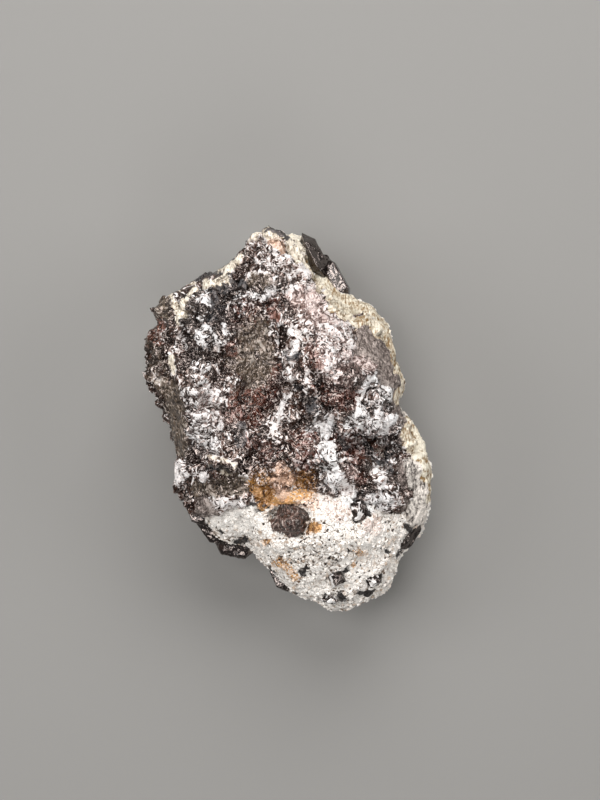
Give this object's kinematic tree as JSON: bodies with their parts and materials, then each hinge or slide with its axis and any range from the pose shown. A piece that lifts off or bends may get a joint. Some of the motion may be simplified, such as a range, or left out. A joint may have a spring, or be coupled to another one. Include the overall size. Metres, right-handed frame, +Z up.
{
  "type": "cassiterite specimen",
  "caption": "Miniature mineral specimen: a dark, brilliant mass of cassiterite crystals in a pale granular matrix, lying on its flat broken back.",
  "frame": {"origin": "middle of the specimen's box in plan, at the level of the flat broken back that it rests on", "axes": "+Z up, out of the crystal face; +Y towards the pointed end; +X towards the cream-coloured side"},
  "size_m": [0.0364, 0.0494, 0.0268],
  "materials": {
    "cassiterite": "nearly black brown, brilliant to half metallic on fine broken faces, with silvery specks",
    "crystal": "black, glassy flat faces with a reddish brown glint at the edges",
    "matrix": "white to cream granular crust with mica glints, pink and ochre tints and dark specks",
    "iron_stained_matrix": "dull dark brown grain in rust-orange stained matrix"
  },
  "bodies": {
    "root": {"cassiterite_mass": "cassiterite", "pale_matrix": "matrix", "upper_crystals": "crystal", "lower_left_crystals": "crystal", "toe_crystal": "crystal", "iron_stained_grain": "iron_stained_matrix", "foot_crystal_middle": "crystal", "foot_crystal_right": "crystal", "foot_crystal_end": "crystal", "foot_crystal_inner": "crystal", "side_crystal": "crystal"}
  },
  "joints": []
}
